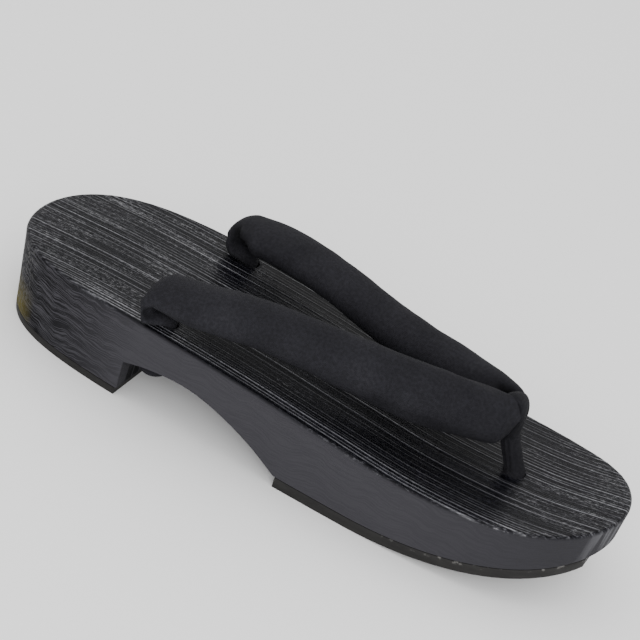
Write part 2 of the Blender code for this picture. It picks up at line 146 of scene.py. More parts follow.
def smooth_line(table, place):
    """Height at a place along a table, on a smooth curve through its rows."""
    index = 0
    while index < len(table) - 2 and place > table[index + 1][0]:
        index += 1

    def slope(k):
        before = table[max(k - 1, 0)]
        after = table[min(k + 1, len(table) - 1)]
        return (after[1] - before[1]) / (after[0] - before[0])

    low, high = table[index], table[index + 1]
    span = high[0] - low[0]
    t = min(max((place - low[0]) / span, 0.0), 1.0)
    return (
        (2 * t**3 - 3 * t**2 + 1) * low[1]
        + (t**3 - 2 * t**2 + t) * span * slope(index)
        + (3 * t**2 - 2 * t**3) * high[1]
        + (t**3 - t**2) * span * slope(index + 1)
    )


def deck_z(x):
    return DECK_HEIGHT * smooth_line(DECK_LINE, x / LENGTH)


def spring_z(x):
    run = max(x - TOE_SPRING_START, 0.0) / (LENGTH - TOE_SPRING_START)
    return TOE_SPRING * run**2


def half_width(x):
    toe = 1 - math.exp(-max(LENGTH - x, 0.0) / TOE_ROUND)
    heel = 1 - math.exp(-max(x, 0.0) / HEEL_ROUND)
    return WIDTH / 2 * math.sqrt(toe * heel)


def wood_underside(x):
    """Height of the wood's underside: heel block, open arch, then the forefoot."""
    if x <= HEEL_BLOCK_LENGTH + 1e-6:
        return HEEL_RUBBER + FIT_GAP
    if x < FOREFOOT_START:
        share = (x - HEEL_BLOCK_LENGTH) / (FOREFOOT_START - HEEL_BLOCK_LENGTH)
        return ARCH_HEIGHT * smooth_line(ARCH_LINE, share)
    return spring_z(x) + FOREFOOT_RUBBER + FIT_GAP


def walk_outline(first_step, long_step):
    """Stations from heel to toe: short steps where the ends are round, long ones at the sides."""
    half = [0.0]
    x = 0.0
    while x < LENGTH / 2:
        step = first_step + (long_step - first_step) * min(x / 0.045, 1.0)
        low, high = x, x + step
        for _ in range(30):
            middle = (low + high) / 2
            if math.hypot(middle - x, half_width(middle) - half_width(x)) < step:
                low = middle
            else:
                high = middle
        x = high
        half.append(x)
    half = [x for x in half if x < LENGTH / 2 - long_step / 2]
    toe_half, x = [LENGTH], LENGTH
    while x > LENGTH / 2:
        step = first_step + (long_step - first_step) * min((LENGTH - x) / 0.045, 1.0)
        low, high = x - step, x
        for _ in range(30):
            middle = (low + high) / 2
            if math.hypot(middle - x, half_width(middle) - half_width(x)) < step:
                high = middle
            else:
                low = middle
        x = low
        toe_half.append(x)
    toe_half = [x for x in toe_half if x > LENGTH / 2 + long_step / 2]
    return half + [LENGTH / 2] + toe_half[::-1]


def outline_normal(x):
    """Unit normal of the outline's left side, pointing away from the sandal."""
    if x <= 0.0 or x >= LENGTH:
        return (-1.0 if x <= 0.0 else 1.0, 0.0)
    step = min(LENGTH / 500, x / 2, (LENGTH - x) / 2)
    run = 2 * step
    rise = half_width(x + step) - half_width(x - step)
    size = math.hypot(run, rise)
    return (-rise / size, run / size)


def outline_point(x, outward):
    """Place (x, y) of the left side of the outline at a station, moved outward."""
    normal = outline_normal(x)
    return x + normal[0] * outward, max(half_width(x) + normal[1] * outward, 0.0)


def lean(x, z):
    """How far the wall stands in at a height, as it leans in towards the ground."""
    slope = HEEL_WALL_SLOPE + (TOE_WALL_SLOPE - HEEL_WALL_SLOPE) * x / LENGTH
    return slope * (z / deck_z(x) - 1)


def trimmed_grid(name, stations, columns, inset, height):
    """A flat grid, trimmed to the sandal's outline and lifted to height(x), its rows at the stations."""
    rows = len(stations) - 1
    bpy.ops.object.select_all(action="DESELECT")
    bpy.ops.mesh.primitive_grid_add(
        x_subdivisions=rows, y_subdivisions=columns, size=1.0, enter_editmode=False
    )
    grid = bpy.context.object
    grid.name = grid.data.name = name
    station = grid.data.attributes.new("station", "INT", "POINT")
    ends = [outline_point(x, -inset(x)) for x in stations]
    for vertex in grid.data.vertices:
        row = round((vertex.co.x + 0.5) * rows)
        x, reach = ends[row]
        y = vertex.co.y * WIDTH
        if abs(y) > reach - 0.3 * WIDTH / columns:
            y = math.copysign(reach, y)
        vertex.co = (x, y, height(stations[row]))
        station.data[vertex.index].value = row
    bpy.ops.object.mode_set(mode="EDIT")
    bpy.ops.mesh.select_all(action="SELECT")
    bpy.ops.mesh.remove_doubles(threshold=1e-6)
    bpy.ops.object.mode_set(mode="OBJECT")
    return grid


def sole_solid(name, stations, columns, rings, underside):
    """A closed solid on the sandal's outline: a top, its rim drawn down ring by ring, an underside.

    Each ring is a pair of functions of the station: how far outward it lies, and its height.
    """
    outward, height = rings[0]
    solid = trimmed_grid(name, stations, columns, lambda x: -outward(x), height)
    bpy.ops.object.mode_set(mode="EDIT")
    bpy.ops.mesh.select_mode(type="FACE")
    bpy.ops.mesh.select_all(action="SELECT")
    bpy.ops.mesh.region_to_loop()
    for outward, height in rings[1:]:
        bpy.ops.mesh.extrude_edges_move()
        edit = bmesh.from_edit_mesh(solid.data)
        station = edit.verts.layers.int["station"]
        for vertex in edit.verts:
            if vertex.select:
                x = stations[vertex[station]]
                place_x, place_y = outline_point(x, outward(x))
                if vertex[station] in (0, len(stations) - 1):
                    place_y = 0.0
                vertex.co = (place_x, math.copysign(place_y, vertex.co.y), height(x))
        bmesh.update_edit_mesh(solid.data)
    bpy.ops.object.mode_set(mode="OBJECT")
    last_outward, last_height = rings[-1]
    floor = trimmed_grid(name + "_floor", stations, underside, lambda x: -last_outward(x), last_height)
    solid.select_set(True)
    floor.select_set(True)
    bpy.context.view_layer.objects.active = solid
    bpy.ops.object.join()
    bpy.ops.object.mode_set(mode="EDIT")
    bpy.ops.mesh.select_all(action="SELECT")
    bpy.ops.mesh.remove_doubles(threshold=2e-6)
    bpy.ops.mesh.normals_make_consistent(inside=False)
    bpy.ops.object.mode_set(mode="OBJECT")
    return solid


def bore(solid, x, y, low, high, radius):
    """Bores an upright round hole."""
    bpy.ops.object.select_all(action="DESELECT")
    bpy.ops.mesh.primitive_cylinder_add(
        vertices=40, radius=radius, depth=high - low, location=(x, y, (low + high) / 2)
    )
    rod = bpy.context.object
    cut = solid.modifiers.new("bore", "BOOLEAN")
    cut.operation = "DIFFERENCE"
    cut.solver = "EXACT"
    cut.object = rod
    bpy.ops.object.select_all(action="DESELECT")
    solid.select_set(True)
    bpy.context.view_layer.objects.active = solid
    bpy.ops.object.modifier_apply(modifier=cut.name)
    bpy.data.objects.remove(rod, do_unlink=True)


stations = walk_outline(0.0006, 0.0021)
stations = [x for x in stations if abs(x - HEEL_BLOCK_LENGTH) > 0.0007]
stations = sorted(stations + [HEEL_BLOCK_LENGTH, HEEL_BLOCK_LENGTH + 0.00003])
rim = []
for step in range(5):
    angle = math.radians(90 * step / 4)
    rim.append(
        (
            lambda x, angle=angle: EDGE_ROUND * (math.sin(angle) - 1),
            lambda x, angle=angle: deck_z(x) - EDGE_ROUND * (1 - math.cos(angle)),
        )
    )
WALL_STEPS = 12
for step in range(1, WALL_STEPS + 1):
    share = step / WALL_STEPS

    def wall_z(x, share=share):
        top = deck_z(x) - EDGE_ROUND
        return top + (wood_underside(x) - top) * share

    rim.append((lambda x, wall_z=wall_z: lean(x, wall_z(x)), wall_z))
base = sole_solid("geta_base", stations, DECK_COLUMNS, rim, 20)


def grain_height(x, y):
    """Height in mm that the brushed grain stands proud, and how far the line is rubbed, 0 to 1."""
    along = x / LENGTH
    sway = 0.30 * math.sin(5.1 * along + 0.05 * y * 1000) + 0.14 * math.sin(13.0 * along + 2.0)
    across = y * 1000 + sway
    height = rubbed = 0.0
    for i, (place, drift, wide, tall, worn) in enumerate(GRAIN_LINES):
        away = (across - place - drift * (along - 0.16)) / wide
        if abs(away) < 2.6:
            bell = math.exp(-away * away)
            strength = 0.78 + 0.9 * noise.noise(Vector((x * 22, i * 7.3, 5.0)))
            height += tall * bell * min(max(strength + 0.2, 0.3), 1.2)
            rubbed = max(rubbed, worn * bell * min(max(strength, 0.12), 1.15))
    fine = noise.noise(Vector((x * 14, across * 1.9, 3.0))) * 0.5
    fine += noise.noise(Vector((x * 30, across * 3.7, 9.0))) * 0.35
    height += 0.05 * fine
    return height, rubbed, 0.5 + fine


def tube_shade(x, y):
    """How deep the painted shade of the thong lies on the deck, 0 to 1: round and under its tubes."""
    ahead = (x - 0.074) / 0.012
    behind = (0.206 - x) / 0.020
    inside = (0.0365 - abs(y)) / 0.003
    return min(max(min(ahead, behind, inside), 0.0), 1.0)


WOOD_DATA = ("grain", "fibre", "deck", "tube_shade")
for name in WOOD_DATA:
    base.data.attributes.new(name, "FLOAT", "POINT")
grain, fibre, deck, tube_shade_data = (base.data.attributes[name].data for name in WOOD_DATA)
for vertex in base.data.vertices:
    x, y, z = vertex.co
    below = deck_z(min(max(x, 0.0), LENGTH)) - z
    on_deck = 1 - min(max(below / (EDGE_ROUND * 1.1), 0.0), 1.0)
    height, rubbed, mottle = grain_height(x, y)
    vertex.co.z += height * on_deck / 1000
    grain[vertex.index].value = rubbed * on_deck
    fibre[vertex.index].value = mottle
    deck[vertex.index].value = on_deck
    tube_shade_data[vertex.index].value = tube_shade(x, y)
    vertex.co.x -= LENGTH / 2

FRONT_HOLE_X, REAR_HOLE_X, REAR_HOLE_Y, HOLE_RADIUS = 0.1985, 0.0715, 0.0315, 0.0042
KNOT_RECESS_RADIUS, KNOT_RECESS_TOP = 0.0062, 0.0172
middle = LENGTH / 2
bore(base, FRONT_HOLE_X - middle, 0.0, -0.001, 0.040, HOLE_RADIUS)
bore(base, FRONT_HOLE_X - middle, 0.0, -0.001, KNOT_RECESS_TOP, KNOT_RECESS_RADIUS)
bore(base, REAR_HOLE_X - middle, REAR_HOLE_Y, -0.001, 0.040, HOLE_RADIUS)
bore(base, REAR_HOLE_X - middle, -REAR_HOLE_Y, -0.001, 0.040, HOLE_RADIUS)
bpy.ops.object.select_all(action="DESELECT")
base.select_set(True)
bpy.context.view_layer.objects.active = base
bpy.ops.object.shade_smooth_by_angle(angle=math.radians(38))


def new_material(name, roughness):
    material = bpy.data.materials.new(name)
    material.use_nodes = True
    nodes, links = material.node_tree.nodes, material.node_tree.links
    shader = nodes["Principled BSDF"]
    shader.inputs["Roughness"].default_value = roughness
    return material, nodes, links, shader


def stretched_noise(nodes, links, scale, detail, size=1.0, roughness=0.5):
    """Noise on Object coordinates, stretched by scale along each axis."""
    place = nodes.new("ShaderNodeTexCoord")
    mapping = nodes.new("ShaderNodeMapping")
    mapping.inputs["Scale"].default_value = scale
    texture = nodes.new("ShaderNodeTexNoise")
    texture.inputs["Scale"].default_value = size
    texture.inputs["Detail"].default_value = detail
    texture.inputs["Roughness"].default_value = roughness
    links.new(place.outputs["Object"], mapping.inputs["Vector"])
    links.new(mapping.outputs["Vector"], texture.inputs["Vector"])
    return texture.outputs["Fac"]


def ramp(nodes, links, source, *stops):
    """A colour ramp of (place, grey or colour) stops."""
    node = nodes.new("ShaderNodeValToRGB")
    while len(node.color_ramp.elements) < len(stops):
        node.color_ramp.elements.new(0.5)
    for element, (place, tone) in zip(node.color_ramp.elements, stops):
        element.position = place
        element.color = (*tone, 1.0) if isinstance(tone, tuple) else (tone, tone, tone, 1.0)
    links.new(source, node.inputs["Fac"])
    return node.outputs["Color"]


def attribute(nodes, name):
    node = nodes.new("ShaderNodeAttribute")
    node.attribute_name = name
    return node.outputs["Fac"]


def mix(nodes, links, share, low, high, blend="MIX"):
    """A colour mix. Each input is a socket or a colour."""
    node = nodes.new("ShaderNodeMix")
    node.data_type = "RGBA"
    node.blend_type = blend
    for socket, value in ((0, share), (6, low), (7, high)):
        if isinstance(value, bpy.types.NodeSocket):
            links.new(value, node.inputs[socket])
        elif socket == 0:
            node.inputs[0].default_value = value
        else:
            node.inputs[socket].default_value = (*value, 1.0)
    return node.outputs[2]


def maths(nodes, links, operation, first, second=0.0):
    node = nodes.new("ShaderNodeMath")
    node.operation = operation
    for socket, value in enumerate((first, second)):
        if isinstance(value, bpy.types.NodeSocket):
            links.new(value, node.inputs[socket])
        else:
            node.inputs[socket].default_value = value
    return node.outputs["Value"]


def bump(nodes, links, height, distance, strength=1.0, under=None):
    node = nodes.new("ShaderNodeBump")
    node.inputs["Distance"].default_value = distance
    node.inputs["Strength"].default_value = strength
    links.new(height, node.inputs["Height"])
    if under is not None:
        links.new(under, node.inputs["Normal"])
    return node.outputs["Normal"]


BLACK_DECK, DUSTY_DECK = (0.0012, 0.0012, 0.0020), (0.024, 0.024, 0.032)
RUBBED_LINE = (0.165, 0.165, 0.182)
WALL_PAINT, DARK_RING = (0.037, 0.036, 0.041), (0.0040, 0.0040, 0.0048)
TOE_WALL, TOE_HIGHLIGHT = (0.016, 0.016, 0.018), (0.085, 0.085, 0.092)
FACE_STREAK, END_SPECK, OLIVE_RUB = (0.004, 0.004, 0.005), (0.085, 0.084, 0.082), (0.080, 0.066, 0.012)
FIBRE_DUST, FLUFF_DUST, TUBE_SHADE_DEPTH = 0.6, 0.95, 0.50
RINGS_UP, RING_WOBBLE = 3200.0, 30.0
HEEL_FACE_X = -0.0569
wood, nodes, links, shader = new_material("burnt_black_wood", 0.34)
shader.inputs["Specular IOR Level"].default_value = 0.04
on_deck = attribute(nodes, "deck")
line = attribute(nodes, "grain")
mottle = attribute(nodes, "fibre")
fibres = stretched_noise(nodes, links, (24.0, 1500.0, 90.0), 4.0, 1.0, 0.62)
fluff = stretched_noise(nodes, links, (620.0, 1900.0, 620.0), 5.0, 1.0, 0.7)
patches = stretched_noise(nodes, links, (30.0, 130.0, 60.0), 3.0)
pale_fibre = ramp(nodes, links, fibres, (0.52, 0.0), (0.66, 1.0))
pale_fluff = ramp(nodes, links, fluff, (0.48, 0.0), (0.63, 1.0))
worn_patch = ramp(nodes, links, patches, (0.36, 0.40), (0.58, 1.0))
dust = maths(nodes, links, "MULTIPLY", pale_fibre, FIBRE_DUST)
dust = maths(nodes, links, "ADD", dust, maths(nodes, links, "MULTIPLY", pale_fluff, FLUFF_DUST))
dust = maths(nodes, links, "MULTIPLY", dust, worn_patch)
dust = maths(nodes, links, "MULTIPLY", dust, ramp(nodes, links, mottle, (0.20, 0.35), (0.75, 1.0)))
# Painted shade of the thong: round and under the tubes the dust and the rubbed grain lines are taken out, so
# the deck there is painted near black and its coat sheen is lessened.
painted_tube_shade = maths(nodes, links, "MULTIPLY", attribute(nodes, "tube_shade"), TUBE_SHADE_DEPTH)
outside_tube_shade = maths(nodes, links, "SUBTRACT", 1.0, painted_tube_shade)
dust = maths(nodes, links, "MULTIPLY", dust, outside_tube_shade)
ground = mix(nodes, links, dust, BLACK_DECK, DUSTY_DECK)
broken = maths(nodes, links, "MULTIPLY", line, ramp(nodes, links, fluff, (0.36, 0.45), (0.56, 1.0)))
broken = maths(nodes, links, "MULTIPLY", broken, outside_tube_shade)
lined = mix(nodes, links, broken, ground, RUBBED_LINE)
place = nodes.new("ShaderNodeTexCoord")
split = nodes.new("ShaderNodeSeparateXYZ")
links.new(place.outputs["Object"], split.inputs["Vector"])
wobble = stretched_noise(nodes, links, (70.0, 70.0, 55.0), 2.0, 1.0, 0.5)
rings = nodes.new("ShaderNodeTexNoise")
rings.inputs["Scale"].default_value = 1.0
rings.inputs["Detail"].default_value = 3.0
ring_place = nodes.new("ShaderNodeCombineXYZ")
ring_height = maths(nodes, links, "MULTIPLY", split.outputs["Z"], RINGS_UP)
ring_height = maths(nodes, links, "ADD", ring_height, maths(nodes, links, "MULTIPLY", wobble, RING_WOBBLE))
links.new(maths(nodes, links, "MULTIPLY", split.outputs["X"], 90.0), ring_place.inputs["X"])
links.new(maths(nodes, links, "MULTIPLY", split.outputs["Y"], 90.0), ring_place.inputs["Y"])
links.new(ring_height, ring_place.inputs["Z"])
links.new(ring_place.outputs["Vector"], rings.inputs["Vector"])
ring_dark = ramp(nodes, links, rings.outputs["Fac"], (0.47, 1.0), (0.52, 0.0))
heel_share = maths(nodes, links, "MULTIPLY_ADD", split.outputs["X"], -18.0)
heel_share.node.inputs[2].default_value = -0.95
heel_mask = ramp(nodes, links, heel_share, (0.0, 0.12), (0.75, 1.0))
ring_share = maths(nodes, links, "MULTIPLY", ring_dark, heel_mask)
wall = mix(nodes, links, ring_share, WALL_PAINT, DARK_RING)
# Painted highlight: bright vertical streaks painted on the toe's front face, where the rounded toe end catches
# the light.
toe_streaks = stretched_noise(nodes, links, (230.0, 230.0, 12.0), 2.0)
toeward = maths(nodes, links, "MULTIPLY", split.outputs["X"], 8.0)
toe_front = ramp(nodes, links, toeward, (0.895, 0.0), (0.935, 0.9))
toe_streak = ramp(nodes, links, toe_streaks, (0.50, 0.0), (0.58, 1.0))
toe_highlight_share = maths(nodes, links, "MULTIPLY", toe_front, toe_streak)
toe_share = ramp(nodes, links, toeward, (0.45, 0.0), (0.85, 0.45))
wall = mix(nodes, links, toe_share, wall, TOE_WALL)
wall = mix(nodes, links, toe_highlight_share, wall, TOE_HIGHLIGHT)
face_streaks = stretched_noise(nodes, links, (30.0, 420.0, 30.0), 1.0)
face_near = maths(nodes, links, "ABSOLUTE", maths(nodes, links, "SUBTRACT", split.outputs["X"], HEEL_FACE_X))
face_near = maths(nodes, links, "MULTIPLY", face_near, 1000.0)
face_mask = ramp(nodes, links, face_near, (0.11, 1.0), (0.12, 0.0))
face_streak = ramp(nodes, links, face_streaks, (0.48, 0.0), (0.54, 1.0))
wall = mix(nodes, links, maths(nodes, links, "MULTIPLY", face_mask, face_streak), wall, FACE_STREAK)
heelward = maths(nodes, links, "MULTIPLY", split.outputs["X"], -8.0)
upward = maths(nodes, links, "MULTIPLY", split.outputs["Z"], 30.0)
nearward = maths(nodes, links, "MULTIPLY", split.outputs["Y"], -10.0)
rub_low = ramp(nodes, links, upward, (0.20, 1.0), (0.52, 0.0))
rub_back = ramp(nodes, links, heelward, (0.790, 0.0), (0.860, 0.90))
rub_side = ramp(nodes, links, nearward, (0.02, 0.0), (0.16, 1.0))
rub = maths(nodes, links, "MULTIPLY", rub_side, maths(nodes, links, "MULTIPLY", rub_back, rub_low))
wall = mix(nodes, links, rub, wall, OLIVE_RUB)
end_mask = ramp(nodes, links, heelward, (0.800, 0.0), (0.865, 0.85))
end_specks = stretched_noise(nodes, links, (950.0, 950.0, 800.0), 3.0)
end_speck = ramp(nodes, links, end_specks, (0.54, 0.0), (0.60, 1.0))
wall = mix(nodes, links, maths(nodes, links, "MULTIPLY", end_mask, end_speck), wall, END_SPECK)
links.new(mix(nodes, links, on_deck, wall, lined), shader.inputs["Base Color"])
deck_rough = ramp(nodes, links, dust, (0.0, 0.30), (0.70, 0.42))
polish = maths(nodes, links, "ADD", ramp(nodes, links, dust, (0.30, 0.02), (0.85, 1.0)), broken)
polish = maths(nodes, links, "MULTIPLY", polish, on_deck)
links.new(polish, shader.inputs["Coat Weight"])
shader.inputs["Coat Roughness"].default_value = 0.22
shader.inputs["Coat IOR"].default_value = 1.75
links.new(mix(nodes, links, on_deck, (0.60, 0.60, 0.60), deck_rough), shader.inputs["Roughness"])
relief = bump(nodes, links, fibres, 0.00014)
relief = bump(nodes, links, fluff, 0.00008, 1.0, relief)
relief = bump(nodes, links, ring_share, 0.00012, 1.0, relief)
links.new(relief, shader.inputs["Normal"])
base.data.materials.clear()
base.data.materials.append(wood)
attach(base, "root")
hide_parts("wooden_base")

# Rubber sheets. Two cut sheets of warm black rubber under the heel block and under the forefoot,
# glued on flush with the wood and trimmed round it with a knife.
HEEL_SHEET_FRONT = HEEL_BLOCK_LENGTH - 0.0006
FORE_SHEET_START, FORE_SHEET_END = FOREFOOT_START + 0.0008, LENGTH - 0.0045
SHEET_ROUND = 0.00025


def cut_across(solid, x, keep_ahead):
    """Cuts the solid square across at a station and closes the cut."""
    bpy.ops.object.select_all(action="DESELECT")
    solid.select_set(True)
    bpy.context.view_layer.objects.active = solid
    bpy.ops.object.mode_set(mode="EDIT")
    bpy.ops.mesh.select_all(action="SELECT")
    bpy.ops.mesh.bisect(
        plane_co=(x, 0.0, 0.0),
        plane_no=(1.0, 0.0, 0.0),
        use_fill=True,
        clear_inner=keep_ahead,
        clear_outer=not keep_ahead,
    )
    bpy.ops.object.mode_set(mode="OBJECT")


def sheet_rings(low, high):
    """Rim rings of a sheet between two heights, with a small round at its top and bottom edges."""
    rings = []
    for drop, inward in ((0.0, 1.0), (0.3, 0.3), (1.0, 0.0)):
        rings.append(
            (
                lambda x, d=drop, i=inward: lean(x, high(x)) - i * SHEET_ROUND,
                lambda x, d=drop: high(x) - d * SHEET_ROUND,
            )
        )
    for share in (0.33, 0.67):
        rings.append(
            (
                lambda x, s=share: lean(x, high(x) + (low(x) - high(x)) * s),
                lambda x, s=share: high(x) + (low(x) - high(x)) * s,
            )
        )
    for lift, inward in ((1.0, 0.0), (0.3, 0.3), (0.0, 1.0)):
        rings.append(
            (
                lambda x, u=lift, i=inward: lean(x, low(x)) - i * SHEET_ROUND,
                lambda x, u=lift: low(x) + u * SHEET_ROUND,
            )
        )
    return rings


rubber, nodes, links, shader = new_material("black_rubber", 0.62)
grit = stretched_noise(nodes, links, (1600.0, 1600.0, 1600.0), 4.0)
patches = stretched_noise(nodes, links, (90.0, 90.0, 260.0), 3.0)
tone = ramp(nodes, links, patches, (0.30, (0.0115, 0.0110, 0.0108)), (0.70, (0.0180, 0.0172, 0.0168)))
flecks = stretched_noise(nodes, links, (420.0, 420.0, 420.0), 2.0)
glue = attribute(nodes, "seam")
glue_share = maths(nodes, links, "MULTIPLY", glue, ramp(nodes, links, flecks, (0.57, 0.0), (0.64, 1.0)))
links.new(mix(nodes, links, glue_share, tone, (0.10, 0.097, 0.093)), shader.inputs["Base Color"])
links.new(bump(nodes, links, grit, 0.00006), shader.inputs["Normal"])
shader.inputs["Specular IOR Level"].default_value = 0.15

sheet_stations = walk_outline(0.0010, 0.0024)
heel_sheet = sole_solid(
    "heel_rubber", sheet_stations, 12, sheet_rings(lambda x: 0.0, lambda x: HEEL_RUBBER), 12
)
cut_across(heel_sheet, HEEL_SHEET_FRONT, False)
fore_sheet_rings = sheet_rings(spring_z, lambda x: spring_z(x) + FOREFOOT_RUBBER)
fore_sheet = sole_solid(
    "forefoot_rubber", sheet_stations, 12, fore_sheet_rings, 12
)
cut_across(fore_sheet, FORE_SHEET_START, True)
cut_across(fore_sheet, FORE_SHEET_END, False)
for sheet, node, top in (
    (heel_sheet, "heel_outsole", lambda x: HEEL_RUBBER),
    (fore_sheet, "forefoot_outsole", lambda x: spring_z(x) + FOREFOOT_RUBBER),
):
    seam = sheet.data.attributes.new("seam", "FLOAT", "POINT")
    for vertex in sheet.data.vertices:
        below = top(vertex.co.x) - vertex.co.z
        ahead = min(max((vertex.co.x - 0.165) / 0.03, 0.0), 1.0)
        seam.data[vertex.index].value = ahead * (1.0 if below < 0.0006 else 0.0)
        vertex.co.x -= LENGTH / 2
    bpy.ops.object.select_all(action="DESELECT")
    sheet.select_set(True)
    bpy.context.view_layer.objects.active = sheet
    bpy.ops.object.shade_smooth_by_angle(angle=math.radians(38))
    sheet.data.materials.clear()
    sheet.data.materials.append(rubber)
    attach(sheet, "root")
    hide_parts(node)

# Thong tubes. Two padded tubes of fine black cotton over a soft filling and a core cord. They join
# at the front, spread to the sides, fold down over the rear holes and end in knots under the arch.
TUBE_WIDTH, TUBE_HEIGHT, TUBE_RISE = 0.0210, 0.0170, 0.0180
JOIN_SETBACK = 0.0060
JOIN_X, JOIN_Y = FRONT_HOLE_X - JOIN_SETBACK, TUBE_WIDTH * 0.31
EAR_REACH, FOLD_TUCK, FOLD_BEHIND, FOLD_RISE = 0.0014, 0.0050, 0.0030, 0.0063
DIVE_BEHIND, CORD_SINK, FOOT_PLAY = 0.0025, 0.0009, 0.00036
CORD_RADIUS, KNOT_RADIUS, REAR_KNOT_HEIGHT, REAR_KNOT_TOP = 0.0035, 0.0050, 0.0032, 0.0159
TUBE_POINTS, TUBE_STEPS, FOLD_STEPS = 96, 14, 7
TUBE_GIRTH = 0.058
TUBE_SECTIONS = (
    # along, spread, wide, rise right, tall right, rise left, tall left
    (1.000, 0.000, 0.20, 1.130, 0.300, 0.945, 0.260),
    (0.996, 0.000, 0.40, 1.131, 0.540, 0.947, 0.460),
    (0.989, 0.001, 0.60, 1.134, 0.790, 0.950, 0.680),
    (0.977, 0.004, 0.74, 1.138, 0.980, 0.956, 0.860),
    (0.953, 0.022, 0.82, 1.148, 1.110, 0.968, 0.980),
    (0.920, 0.070, 0.84, 1.160, 1.170, 0.985, 1.040),
    (0.847, 0.183, 0.87, 1.140, 1.240, 0.990, 1.060),
    (0.732, 0.306, 0.92, 1.035, 1.260, 0.955, 1.000),
    (0.607, 0.435, 0.94, 0.980, 1.180, 0.880, 0.910),
    (0.466, 0.591, 0.94, 0.960, 1.070, 0.840, 0.840),
    (0.326, 0.728, 0.97, 0.890, 0.970, 0.850, 0.800),
    (0.195, 0.844, 1.03, 0.790, 0.910, 0.820, 0.800),
    (0.100, 0.935, 1.08, 0.690, 0.830, 0.745, 0.780),
    (0.030, 0.985, 1.06, 0.625, 0.735, 0.690, 0.705),
)
FOLD_SECTIONS = (
    # turn in degrees, inner, outer right, outer left, ear, tuck
    (10.0, 0.040, 0.900, 0.850, 0.00, 0.20),
    (35.0, 0.040, 0.770, 0.770, 0.10, 0.55),
    (60.0, 0.040, 0.610, 0.710, 0.30, 0.85),
    (85.0, 0.040, 0.500, 0.680, 0.60, 1.00),
    (110.0, 0.040, 0.460, 0.640, 0.90, 1.00),
    (135.0, 0.040, 0.490, 0.610, 1.00, 1.00),
    (158.0, 0.040, 0.600, 0.590, 0.85, 1.00),
    (180.0, 0.040, 0.600, 0.580, 0.45, 1.00),
)
DIVE_SECTIONS = (
    (32.0, 0.030, 0.900, 0.88, 0.60),
    (62.0, 0.030, 0.960, 0.66, 0.20),
    (90.0, 0.030, 0.940, 0.36, 0.00),
)
KNOT_SECTIONS = ((1.0, 0.76), (0.86, 0.90), (0.62, 1.00), (0.38, 0.98), (0.14, 0.78), (0.0, 0.45))
FORWARD, LEFT, UP = Vector((1, 0, 0)), Vector((0, 1, 0)), Vector((0, 0, 1))


def smooth_rows(table, steps):
    last = len(table) - 1
    columns = [tuple(enumerate(column)) for column in zip(*table)]
    places = [i / steps for i in range(last * steps + 1)]
    return [tuple(smooth_line(column, place) for column in columns) for place in places]


def section_ring(centre, across, upward, half_across, half_up, ear=0.0, tuck=0.0, points=TUBE_POINTS):
    ring = []
    for i in range(points):
        angle = 2 * math.pi * i / points
        reach = half_across * math.cos(angle) + ear * max(math.cos(angle), 0.0) ** 6
        reach += tuck * max(-math.cos(angle), 0.0)
        ring.append(centre + across * reach + upward * (half_up * math.sin(angle)))
    return ring


def tube_rings(side):
    rise_column, tall_column = (3, 4) if side < 0 else (5, 6)
    sections = smooth_rows(TUBE_SECTIONS, TUBE_STEPS)
    centres = []
    for row in sections:
        x = REAR_HOLE_X + row[0] * (JOIN_X - REAR_HOLE_X)
        y = side * (JOIN_Y + row[1] * (REAR_HOLE_Y - JOIN_Y))
        centres.append(Vector((x, y, deck_z(x) + row[rise_column] * TUBE_RISE)))
    rings = []
    for i, (row, centre) in enumerate(zip(sections, centres)):
        heading = (centres[min(i + 1, len(centres) - 1)] - centres[max(i - 1, 0)]).normalized()
        upward = (UP - heading * heading.z).normalized()
        across = heading.cross(upward) * side
        half_tall = row[tall_column] * TUBE_HEIGHT / 2
        rings.append(section_ring(centre, across, upward, row[2] * TUBE_WIDTH / 2, half_tall))
    half_across = sections[-1][2] * TUBE_WIDTH / 2
    tube_top = max(point.z for point in rings[-1])
    outward = LEFT * side
    hole_y = side * REAR_HOLE_Y
    deck = deck_z(REAR_HOLE_X) + FOOT_PLAY
    pivot = Vector((REAR_HOLE_X - FOLD_BEHIND, hole_y, deck_z(REAR_HOLE_X) + FOLD_RISE))
    reach = tube_top - pivot.z
    for turned, inner, right_outer, left_outer, ear, tuck in smooth_rows(FOLD_SECTIONS, FOLD_STEPS):
        outer = right_outer if side < 0 else left_outer
        up = math.cos(math.radians(turned))
        direction = UP * up - FORWARD * math.sin(math.radians(turned))
        low, high = inner * reach, outer * reach
        if up < 0:
            high = min(high, (pivot.z - deck) / -up)
        centre = pivot + direction * (low + high) / 2
        half_up = (high - low) / 2
        rings.append(
            section_ring(centre, outward, direction, half_across, half_up, ear * EAR_REACH, tuck * FOLD_TUCK)
        )
    pivot = Vector((REAR_HOLE_X - DIVE_BEHIND, hole_y, deck))
    for turned, inner, outer, wide, tuck in DIVE_SECTIONS:
        direction = UP * math.cos(math.radians(turned)) + FORWARD * math.sin(math.radians(turned))
        centre = pivot + direction * (inner + outer) * FOLD_RISE / 2
        half_up = (outer - inner) * FOLD_RISE / 2
        rings.append(
            section_ring(centre, outward, -direction, wide * half_across, half_up, 0.0, tuck * FOLD_TUCK)
        )
    cord_top = Vector((REAR_HOLE_X, hole_y, deck - CORD_SINK))
    rings.append(section_ring(cord_top, outward, -FORWARD, CORD_RADIUS, CORD_RADIUS))
    knot_top = Vector((REAR_HOLE_X, hole_y, REAR_KNOT_TOP))
    rings.append(section_ring(knot_top, outward, -FORWARD, CORD_RADIUS, CORD_RADIUS))
    for up, wide in KNOT_SECTIONS:
        centre = Vector((REAR_HOLE_X, pivot.y, REAR_KNOT_TOP - REAR_KNOT_HEIGHT * (1 - up)))
        rings.append(section_ring(centre, outward, -FORWARD, wide * KNOT_RADIUS, wide * KNOT_RADIUS))
    return rings


